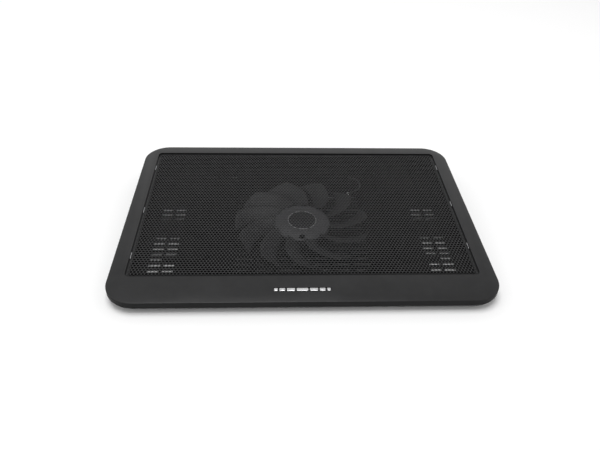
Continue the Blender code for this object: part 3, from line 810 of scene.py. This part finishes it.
@dataclass
class Sub(ABC):
    """A sub-assembly: it places and dresses its own pieces."""

    finishes: Finishes
    body: str = "base"

    @abstractmethod
    def build(self) -> None:
        """Make the new pieces and dress the fixed nodes."""

    def keep(self, node: str, finish: str) -> None:
        """Show a fixed node as it is, with a finish."""
        self.finishes.put(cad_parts[node], finish)
        LOG.info("kept %s in %s", node, finish)

    def show(
        self, obj: Piece, finish: str, slot: str, stands_for: Sequence[str], body: Optional[str] = None
    ) -> Piece:
        """Dress a new piece, hang it on the body that it rides on and hide the nodes that it stands for.

        Args:
            obj: The piece.
            finish: The finish's name.
            slot: The record's material slot; not used.
            stands_for: The fixed nodes that it hides.
            body: The body that it rides on, or None for the sub-assembly's own.

        Returns:
            The piece.
        """
        self.finishes.put(obj, finish)
        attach(obj, body or self.body)
        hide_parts(*stands_for)
        LOG.info("made %s: %d faces, in %s", obj.name, len(obj.data.polygons), finish)
        return obj

    def add_finish(self, obj: Piece, finish: str, chosen: Callable[[bpy.types.MeshPolygon], bool]) -> None:
        """Give some faces of a piece a second finish.

        Args:
            obj: The piece.
            finish: The second finish's name.
            chosen: Tells whether a face takes it.
        """
        obj.data.materials.append(self.finishes.made[finish])
        faces = [face for face in obj.data.polygons if chosen(face)]
        for face in faces:
            face.material_index = 1
        LOG.info("%d faces of %s in %s", len(faces), obj.name, finish)

    def round_off(self, node: str, radius: float) -> Piece:
        """Copy a fixed node with its sharp edges rounded.

        Args:
            node: The node's name.
            radius: How far the rounding reaches.

        Returns:
            The copy, named after the node.
        """
        bm = merged_copy(node)
        bevel_edges(bm, sharp_edges(bm, ROUNDED_ANGLE), radius, 2)
        return closed_mesh(f"{node}_rounded", bm)

    def soften(self, node: str, finish: str, slot: str, radius: float, body: Optional[str] = None) -> None:
        """Show a fixed node with its sharp edges rounded.

        Args:
            node: The node's name.
            finish: The finish's name.
            slot: The record's material slot.
            radius: How far the rounding reaches.
            body: The body that it rides on, or None for the sub-assembly's own.
        """
        self.show(self.round_off(node, radius), finish, slot, [node], body)


@dataclass(frozen=True)
class Bezel:
    """Sizes of the moulded frame round the panel."""

    width: float = 0.350
    depth: float = 0.250
    corner: float = 0.026
    shoulder: float = 0.0006
    skirt: float = 0.0052
    plate: float = 0.0034
    wall: float = 0.0020
    ledge_depth: float = 0.0019
    ledge_width: float = 0.0030
    ledge_corner: float = 0.0015
    opening_side: float = 0.1608
    opening_front: float = -0.0928
    opening_back: float = 0.1120
    opening_corner: float = 0.0045


@dataclass(frozen=True)
class Mark:
    """Sizes of the row of plain dashes on the front, and of the strip under it."""

    middle: Pair = (-0.0028, -0.1098)
    dashes: tuple[float, ...] = (0.0030, 0.0050, 0.0070, 0.0100, 0.0070, 0.0050, 0.0030)
    space: float = 0.0016
    depth: float = 0.0032
    sunk: float = 0.0009
    recess_corner: float = 0.0007
    strip_low: float = -0.0007
    strip_high: float = -0.0004
    strip_corner: float = 0.0004
    dash_level: float = -0.0002
    dash_height: float = 0.0003
    dash_corner: float = 0.0005
    dash_edge: float = 0.00008

    def length(self) -> float:
        """Return the length of the row."""
        return sum(self.dashes) + self.space * (len(self.dashes) - 1)

    def ends(self, margin: float = 0.0) -> tuple[Pair, Pair]:
        """Return the lowest and highest X and Y of the row.

        Args:
            margin: How far the box stands out round it.

        Returns:
            The two corners.
        """
        x, y = self.middle
        half_x, half_y = self.length() / 2 + margin, self.depth / 2 + margin
        return (x - half_x, y - half_y), (x + half_x, y + half_y)


@dataclass
class TopDeck(Sub):
    """The frame, the perforated panel and the mark."""

    bezel: Bezel = Bezel()
    mark: Mark = Mark()
    side_slope: float = 0.45  # faces of the frame steeper than this are its side
    panel_sunk: float = 0.0013
    panel_thickness: float = 0.00045
    panel_margins: tuple[float, float, float] = (0.0013, 0.0018, 0.0018)  # sides, front, back
    hole_pitch: float = 0.00315
    strand: float = 0.00056
    tab_places: tuple[tuple[float, ...], ...] = ((-0.064, 0.005, 0.082), (-0.052, 0.015, 0.084))
    tab_size: Point = (0.0006, 0.0080, 0.0012)
    tab_edge: float = 0.00012

    def build(self) -> None:
        """Make the deck's pieces."""
        bezel = self.show(laid_on_deck(self._frame()), "satin frame", "frame_plastic", ["top_frame"])
        # The frame's upright outer side takes the darker side finish: painted shade on the lip.
        self.add_finish(bezel, "textured side with painted shade", self._is_side)
        for side in Side:
            half = laid_on_deck(self._panel_half(side))
            self.show(half, "powder coat", "panel_metal", ["mesh_panel"])
        self.show(laid_on_deck(self._tabs()), "zinc steel", "panel_metal", ["mesh_panel"])
        self.show(laid_on_deck(self._mark_strip()), "satin frame", "silver_trim", ["front_mark"])
        self.show(laid_on_deck(self._dashes()), "satin trim", "silver_trim", ["front_mark"])

    def _is_side(self, face: bpy.types.MeshPolygon) -> bool:
        """Tell whether a face of the frame belongs to its upright outer side.

        Args:
            face: The face, laid on the deck.

        Returns:
            True for a face of the side.
        """
        b = self.bezel
        middle = DECK.inverted() @ face.center
        x, y = abs(middle.x), abs(middle.y)
        straight = x > b.width / 2 - b.wall or y > b.depth / 2 - b.wall
        corner = math.hypot(x - b.width / 2, y - b.depth / 2) < b.corner
        return face.normal.z < self.side_slope and (straight or corner)

    def _frame(self) -> Piece:
        """Carve the frame from a rounded block.

        Returns:
            The frame, in the deck's frame.
        """
        b, m = self.bezel, self.mark
        inner_x, inner_y = b.width / 2 - b.wall, b.depth / 2 - b.wall
        side, front, back = b.opening_side, b.opening_front, b.opening_back
        ledge, below = b.ledge_width, -b.skirt - SPILL
        mark_low, mark_high = m.ends(2 * GAP)
        hollows = (
            ((-inner_x, -inner_y, below), (inner_x, inner_y, -b.plate), b.corner - b.wall, 20),
            ((-side, front, -b.ledge_depth), (side, back, SPILL), b.opening_corner, 8),
            ((ledge - side, front + ledge, below), (side - ledge, back - ledge, SPILL), b.ledge_corner, 4),
            ((*mark_low, -m.sunk), (*mark_high, SPILL / 2), m.recess_corner, 4),
        )
        piece = self._rounded_shell()
        for low, high, corner, steps in hollows:
            carve(piece, block("hollow", low, high, corner, steps))
        return piece

    def _rounded_shell(self) -> Piece:
        """Make the frame's outer block with a round top edge.

        Returns:
            The block, in the deck's frame.
        """
        b = self.bezel
        bm = bmesh.new()
        add_box(bm, (0.0, 0.0, -b.skirt / 2), (b.width, b.depth, b.skirt))
        bevel_edges(bm, upright_edges(bm, b.skirt / 2), b.corner, 24)
        bevel_edges(bm, edges_above(bm, -NEAR), b.shoulder, 5)
        return closed_mesh("deck_frame", bm)

    def _panel_half(self, side: Side) -> Piece:
        """Make one half of the perforated sheet from six-sided cells.

        Args:
            side: Which half it is.

        Returns:
            The half, in the deck's frame.
        """
        b = self.bezel
        margin_x, margin_front, margin_back = self.panel_margins
        row = self.hole_pitch * math.sqrt(3) / 2
        radius = self.hole_pitch / math.sqrt(3)
        low_y = b.opening_front + margin_front
        high_y = b.opening_back - margin_back
        edge_x = b.opening_side - margin_x
        rows = int((high_y - low_y - 2 * radius) / row) + 1
        spare = high_y - low_y - 2 * radius - (rows - 1) * row
        bm = bmesh.new()
        bmesh.ops.create_circle(bm, cap_ends=True, segments=6, radius=radius)
        # A pair of staggered cells becomes 64 pairs up the sheet and then 128 columns of them.
        self._repeat(bm, Vector((self.hole_pitch / 2, row, 0)), 1)
        self._repeat(bm, Vector((0, 2 * row, 0)), 6)
        self._repeat(bm, Vector((self.hole_pitch, 0, 0)), 7)
        columns = round(edge_x / self.hole_pitch)
        start = Vector((-columns * self.hole_pitch, low_y + radius + spare / 2, -self.panel_sunk))
        bmesh.ops.translate(bm, verts=bm.verts, vec=start)
        unwanted = []
        for face in bm.faces:
            middle = face.calc_center_median()
            outside = abs(middle.x) + self.hole_pitch / 2 > edge_x or middle.y + radius > high_y
            if outside or (middle.x >= -NEAR) != (side is Side.RIGHT):
                unwanted.append(face)
        bmesh.ops.delete(bm, geom=unwanted, context="FACES")
        bmesh.ops.remove_doubles(bm, verts=bm.verts, dist=10 * NEAR)
        cells = bm.faces[:]
        bmesh.ops.inset_individual(bm, faces=cells, thickness=self.strand / 2)
        bmesh.ops.delete(bm, geom=cells, context="FACES")
        bmesh.ops.recalc_face_normals(bm, faces=bm.faces)
        bmesh.ops.solidify(bm, geom=bm.faces[:], thickness=self.panel_thickness)
        return closed_mesh(f"panel_{side.label()}", bm)

    @staticmethod
    def _repeat(bm: Shape, step: Vector, doublings: int) -> None:
        """Double the cells along a step several times over.

        Args:
            bm: The sheet so far.
            step: The move from one copy to the next.
            doublings: How many times the number of copies doubles.
        """
        for turn in range(doublings):
            made = bmesh.ops.duplicate(bm, geom=bm.verts[:] + bm.edges[:] + bm.faces[:])
            copied = [item for item in made["geom"] if isinstance(item, bmesh.types.BMVert)]
            bmesh.ops.translate(bm, verts=copied, vec=step * 2**turn)

    def _tabs(self) -> Piece:
        """Make the bare bent tabs that hold the sheet along its sides.

        Returns:
            The tabs, in the deck's frame.
        """
        bm = bmesh.new()
        reach = self.bezel.opening_side - self.panel_margins[0] + self.tab_size[0]
        for side, places in zip(Side, self.tab_places):
            for y in places:
                add_box(bm, (side.value * reach, y, -self.panel_sunk), self.tab_size)
        bevel_edges(bm, bm.edges[:], self.tab_edge, 2)
        return closed_mesh("panel_tabs", bm)

    def _mark_strip(self) -> Piece:
        """Make the dark strip under the dashes.

        Returns:
            The strip, in the deck's frame.
        """
        m = self.mark
        low, high = m.ends()
        return block("mark_strip", (*low, m.strip_low), (*high, m.strip_high), m.strip_corner, 3)

    def _dashes(self) -> Piece:
        """Make the mark's row of dashes.

        Returns:
            The dashes, in the deck's frame.
        """
        m = self.mark
        start = m.ends()[0][0]
        bm = bmesh.new()
        for length in m.dashes:
            add_box(bm, (start + length / 2, m.middle[1], m.dash_level), (length, m.depth, m.dash_height))
            start += length + m.space
        bevel_edges(bm, upright_edges(bm, m.dash_height / 2), m.dash_corner, 4)
        bevel_edges(bm, edges_above(bm, m.dash_level), m.dash_edge, 2)
        return closed_mesh("front_dashes", bm)


@dataclass
class Fan(Sub):
    """The turning wheel and what turns with it. Its heights are depths below the deck's top face."""

    body: str = "rotor"
    place: Point = (0.001, -0.0095, 0.0)
    blades: int = 11
    tip: float = 0.068
    root: float = 0.0278
    high: float = 0.0035
    low: float = 0.0112
    thickness: float = 0.0011
    blade_edge: float = 0.0003
    blade_steps: tuple[int, int] = (14, 6)
    sweep_middle: float = 0.047  # the radius where the blade has its plain angle and width
    sweep_unit: float = 0.020
    sweep: tuple[float, float, float] = (160.4, 12.4, 3.8)  # degrees: angle, lean and curl
    half_width: Pair = (11.0, 1.0)  # degrees: half the width, and how it narrows
    bow: float = 0.0009
    cap: float = 0.0135
    rim: float = 0.0146
    hub: float = 0.0284
    top: float = 0.0027
    label_thickness: float = 0.0006
    label_seat: float = 0.0009
    label_edge: float = 0.0001
    rim_height: float = 0.0005
    rim_edge: float = 0.00008
    rim_steps: int = 72
    shoulder: float = 0.0062
    bottom: float = 0.0122
    wall: float = 0.0013
    wall_top: float = 0.0078
    roof: float = 0.0048
    roof_reach: float = 0.0144
    boss: float = 0.0080
    boss_bottom: float = 0.0072
    bore: float = 0.0013
    bore_top: float = 0.0051
    hub_edge: float = 0.00012
    hub_steps: int = 88
    vent: float = 0.0030
    vent_place: Pair = (-0.0010, -0.0236)
    vent_span: Pair = (-0.0120, -0.0020)

    def build(self) -> None:
        """Make the wheel and dress the parts inside it."""
        self._turning(self._hub(), "hub plastic")
        for number in range(self.blades):
            self._turning(self._blade(number), "fan plastic")
        label = drum(self.cap, -self.top, -self.top - self.label_thickness)
        disc = turned("hub_label", label, self.rim_steps, self.label_edge)
        self._turning(disc, "label foil", "disc_foil", "hub_disc")
        ring = turned("hub_rim", self._rim_profile(), self.rim_steps, self.rim_edge, closed=True)
        self._turning(ring, "polished rim")
        self.keep("rotor_yoke", "blackened steel")
        self.keep("ring_magnet", "sintered ferrite")
        self.keep("rotor_shaft", "zinc steel")
        self.keep("shaft_clip", "zinc steel")

    def _turning(
        self, piece: Piece, finish: str, slot: str = "fan_plastic", stands_for: str = "fan_rotor"
    ) -> None:
        """Lay a piece of the wheel on the fan's axis and show it.

        Args:
            piece: The piece, drawn about the Z axis.
            finish: The finish's name.
            slot: The record's material slot.
            stands_for: The fixed node that it hides.
        """
        self.show(laid_on_deck(piece, self.place), finish, slot, [stands_for])

    def _rim_profile(self) -> list[Pair]:
        """Return the section of the bright ring round the hub's label."""
        inner, low = self.cap + GAP, -self.top - self.rim_height
        return [(inner, low), (self.rim, low), (self.rim, -self.top), (inner, -self.top)]

    def _hub(self) -> Piece:
        """Turn the cone-shaped hub, hollow underneath, and open its vent.

        Returns:
            The hub, about the Z axis.
        """
        profile = [
            (0.0, -self.top - self.label_seat),
            (self.cap + GAP, -self.top - self.label_seat),
            (self.cap + GAP, -self.top - self.rim_height),
            (self.rim, -self.top - self.rim_height),
            (self.hub, -self.shoulder),
            (self.hub, -self.bottom),
            (self.hub - self.wall, -self.bottom),
            (self.hub - self.wall, -self.wall_top),
            (self.roof_reach, -self.roof),
            (self.boss, -self.roof),
            (self.boss, -self.boss_bottom),
            (self.bore, -self.boss_bottom),
            (self.bore, -self.bore_top),
            (0.0, -self.bore_top),
        ]
        hub = turned("fan_hub", profile, self.hub_steps, self.hub_edge)
        pin = turned("pin", drum(self.vent, *self.vent_span), 32)
        pin.data.transform(Matrix.Translation((*self.vent_place, 0.0)))
        return carve(hub, pin)

    def _blade_point(self, radius: float, across: float) -> Vector:
        """Return a point of the first blade's middle surface.

        Args:
            radius: The distance from the axis.
            across: From 0 at the high edge to 1 at the low one.

        Returns:
            The point.
        """
        reach = (radius - self.sweep_middle) / self.sweep_unit
        start, lean, curl = self.sweep
        half_width, narrowing = self.half_width
        middle = math.radians(start + lean * reach + curl * reach**2)
        half = math.radians(half_width - narrowing * reach)
        angle = middle + (2 * across - 1) * half
        bow = self.bow * 4 * across * (1 - across)
        depth = self.high + (self.low - self.high) * across - bow
        return Vector((radius * math.cos(angle), radius * math.sin(angle), -depth))

    def _blade(self, number: int) -> Piece:
        """Bend a thin grid into one swept blade whose root is sunk into the hub's wall.

        Args:
            number: Its place round the hub, from 0.

        Returns:
            The blade, about the Z axis.
        """
        bm = bmesh.new()
        along, across = self.blade_steps
        bmesh.ops.create_grid(bm, x_segments=along, y_segments=across, size=0.5)
        turn = Matrix.Rotation(number * math.tau / self.blades, 3, "Z")
        for vert in bm.verts:
            radius = self.root + (self.tip - self.root) * (vert.co.x + 0.5)
            vert.co = turn @ self._blade_point(radius, vert.co.y + 0.5)
        bmesh.ops.recalc_face_normals(bm, faces=bm.faces)
        bmesh.ops.solidify(bm, geom=bm.faces[:], thickness=self.thickness)
        bevel_edges(bm, sharp_edges(bm, ROUNDED_ANGLE), self.blade_edge, 2)
        return closed_mesh(f"blade_{number + 1}", bm)


@dataclass
class Motor(Sub):
    """The fixed half of the motor, the lead and the grommet."""

    coils: int = 4
    coil_rounding: float = 0.0005
    screws: int = 3
    screw_rounding: float = 0.0003
    grommet_rounding: float = 0.0002

    def build(self) -> None:
        """Dress the motor's nodes."""
        self.keep("stator_core", "laminated steel")
        for number in range(self.coils):
            self.soften(f"coil_{number + 1}", "enamelled copper", "copper", self.coil_rounding)
        self.keep("bearing_sleeve", "oiled bronze")
        self.keep("thrust_washer", "natural nylon")
        self.keep("motor_board", "solder mask")
        for number in range(self.screws):
            self.soften(f"motor_screw_{number + 1}", "zinc steel", "steel", self.screw_rounding)
        self.keep("fan_lead", "cable jacket")
        self.soften("cord_grommet", "soft rubber", "rubber", self.grommet_rounding)


@dataclass
class Tray(Sub):
    """The bottom shell, its screws and feet."""

    foot_rounding: float = 0.0004
    shell_rounding: float = 0.0009
    shell_steps: int = 3
    low_edge: float = 0.0085  # the rounded edge lies this far below the deck's top face
    floor_level: float = 0.0016
    rim_inset: Pair = (0.009, 0.014)
    inside_level: float = 0.0025
    wall_reach: float = 0.0012
    screw_places: tuple[Pair, ...] = (
        (-0.140, -0.108),
        (0.0, -0.108),
        (0.140, -0.108),
        (-0.145, 0.1165),
        (0.0, 0.1165),
        (0.145, 0.1165),
    )
    head_rounding: float = 0.0004
    head_low: float = -0.0112
    recess_reach: float = 0.0017
    recess_width: float = 0.00055
    recess_depth: float = 0.0009

    def build(self) -> None:
        """Dress the tray's nodes."""
        shell = self.show(self._shell(), "matt shell", "shell_plastic", ["bottom_shell"])
        # Faces inside the case take the darker copy of the shell plastic: painted shade.
        self.add_finish(shell, "painted shade inside", self._is_inside)
        for number, (x, y) in enumerate(self.screw_places):
            self._case_screw(f"case_screw_{number + 1}", x, y)
        for end in ("front", "rear"):
            for side in Side:
                self.soften(f"foot_{end}_{side.label()}", "soft rubber", "rubber", self.foot_rounding)

    def _shell(self) -> Piece:
        """Copy the shell with its outer bottom edge rounded.

        Returns:
            The copy.
        """
        bm = merged_copy("bottom_shell")
        rim = [edge for edge in sharp_edges(bm, ROUNDED_ANGLE) if all(map(self._on_rim, edge.verts))]
        bevel_edges(bm, rim, self.shell_rounding, self.shell_steps)
        LOG.info("rounded %d edges of the shell", len(rim))
        return closed_mesh("tray_shell", bm)

    def _on_rim(self, vert: bmesh.types.BMVert) -> bool:
        """Tell whether a corner of the shell lies on its outer bottom edge.

        Args:
            vert: The corner, on the table.

        Returns:
            True for a corner of that edge.
        """
        point = DECK.inverted() @ vert.co
        inset_x, inset_y = self.rim_inset
        outer = abs(point.x) > DECK_HALF[0] - inset_x or abs(point.y) > DECK_HALF[1] - inset_y
        return outer and point.z < -self.low_edge and vert.co.z < self.floor_level

    def _is_inside(self, face: bpy.types.MeshPolygon) -> bool:
        """Tell whether a face of the shell looks into the case.

        Args:
            face: The face, on the table.

        Returns:
            True for a face inside the walls and above the floor's underside.
        """
        middle = DECK.inverted() @ face.center
        half_x, half_y = (half - self.wall_reach for half in DECK_HALF)
        return abs(middle.x) < half_x and abs(middle.y) < half_y and face.center.z > self.inside_level

    def _case_screw(self, node: str, x: float, y: float) -> None:
        """Show a case screw with a cross recess in its head.

        Args:
            node: The node's name.
            x: Its place across the deck.
            y: Its place from front to back on the deck.
        """
        screw = self.round_off(node, self.head_rounding)
        reach, half = self.recess_reach, self.recess_width / 2
        low, high = self.head_low - SPILL / 2, self.head_low + self.recess_depth
        for span_x, span_y in ((reach, half), (half, reach)):
            slot = block("slot", (x - span_x, y - span_y, low), (x + span_x, y + span_y, high))
            carve(screw, laid_on_deck(slot))
        self.show(screw, "zinc steel", "steel", [node])


@dataclass
class Legs(Sub):
    """The two folding legs with their pins and tip pads."""

    leg_rounding: float = 0.0006
    pad_rounding: float = 0.0003

    def build(self) -> None:
        """Dress the legs' nodes."""
        for side in Side:
            name = side.label()
            body = f"{name}_leg"
            self.soften(f"leg_{name}", "leg plastic", "leg_plastic", self.leg_rounding, body)
            self.soften(f"leg_pad_{name}", "soft rubber", "rubber", self.pad_rounding, body)
            self.keep(f"leg_pin_{name}", "zinc steel")


# ------------------------------------------------------------------ floor, light and camera


def aimed(place: Point, target: Point) -> Quaternion:
    """Return the turn that points a light or camera at a target."""
    return (Vector(target) - Vector(place)).to_track_quat("-Z", "Y")


@dataclass(frozen=True)
class Softbox:
    """One square-edged soft light."""

    name: str
    place: Point
    target: Point
    size: Pair
    power: float

    def build(self) -> None:
        """Make the light."""
        data = bpy.data.lights.new(self.name, "AREA")
        data.shape = "RECTANGLE"
        data.size, data.size_y = self.size
        data.energy = self.power
        light = link_object(self.name, data)
        light.location = self.place
        light.rotation_euler = aimed(self.place, self.target).to_euler()


@dataclass
class Studio:
    """The plain floor, the soft light and the camera."""

    floor_size: float = 12.0
    floor_tones: Pair = (0.93, 0.95)
    key: Softbox = Softbox("key", (-0.28, 0.05, 3.00), (0.0, 0.1, 0.0), (2.1, 1.7), 58.0)
    # The sky's brightness at some heights, from level (0) to straight up (1).
    sky_levels: tuple[Pair, ...] = ((0.0, 1.0), (0.5, 0.95), (0.64, 0.72), (0.78, 0.36), (1.0, 0.2))
    lens: float = 33.784
    sensor: float = 36.0
    nearest: float = 0.01
    camera_place: Point = (-0.02833, -0.47903, 0.34358)
    camera_target: Point = (-0.00171, -0.02193, 0.0200)
    camera_roll: float = math.radians(1.81)

    def build(self) -> None:
        """Make the floor, light and camera."""
        self._floor()
        self._sky()
        self.key.build()
        self._camera()

    def _floor(self) -> None:
        """Lay a pale floor that can be seen through from below."""
        bm = bmesh.new()
        bmesh.ops.create_grid(bm, x_segments=1, y_segments=1, size=self.floor_size / 2)
        floor = link_mesh("floor", bm)
        material = bpy.data.materials.new("pale floor")
        material.use_nodes = True
        graph = Graph(material.node_tree)
        pale, paler = ((tone, tone, tone) for tone in self.floor_tones)
        soft = graph.noise(graph.place(), 3.0, detail=2.0)
        white = graph.feed(graph.add("BsdfDiffuse"), Color=graph.mix(soft, pale, paler))
        below = graph.add("NewGeometry").outputs["Backfacing"]
        chosen = graph.feed(graph.add("MixShader"), Fac=below)
        graph.fill(chosen.inputs[1], white.outputs["BSDF"])
        graph.fill(chosen.inputs[2], graph.add("BsdfTransparent").outputs["BSDF"])
        graph.feed(graph.add("OutputMaterial"), Surface=chosen.outputs["Shader"])
        floor.data.materials.append(material)

    def _sky(self) -> None:
        """Fill the room with even pale light."""
        world = bpy.data.worlds.new("studio")
        world.use_nodes = True
        bpy.context.scene.world = world
        graph = Graph(world.node_tree)
        upward = graph.add("TexCoord").outputs["Generated"]
        height = graph.feed(graph.add("SeparateXYZ"), Vector=upward)
        levels = graph.feed(graph.add("ValToRGB"), Fac=height.outputs["Z"])
        stops = levels.color_ramp.elements
        while len(stops) < len(self.sky_levels):
            stops.new(0.5)
        for stop, (place, level) in zip(stops, self.sky_levels):
            stop.position = place
            stop.color = (level, level, level, 1.0)
        light = graph.feed(graph.add("Background"), Color=levels.outputs["Color"])
        graph.feed(graph.add("OutputWorld"), Surface=light.outputs["Background"])

    def _camera(self) -> None:
        """Set the camera."""
        data = bpy.data.cameras.new("camera")
        data.lens = self.lens
        data.sensor_width = self.sensor
        data.clip_start = self.nearest
        camera = link_object("camera", data)
        camera.location = self.camera_place
        roll = Matrix.Rotation(self.camera_roll, 3, "Z")
        turn = aimed(self.camera_place, self.camera_target).to_matrix() @ roll
        camera.rotation_euler = turn.to_euler()
        bpy.context.scene.camera = camera


def main() -> None:
    """Build the studio and the pad, and log the pieces as they are made."""
    logging.basicConfig(level=logging.INFO, format="%(message)s")
    bpy.context.scene.view_settings.view_transform = "Standard"
    Studio().build()
    finishes = Finishes(tuple(DECK @ Vector(Fan.place)))
    for sub in (TopDeck, Fan, Motor, Tray, Legs):
        sub(finishes).build()


if __name__ == "__main__":
    main()
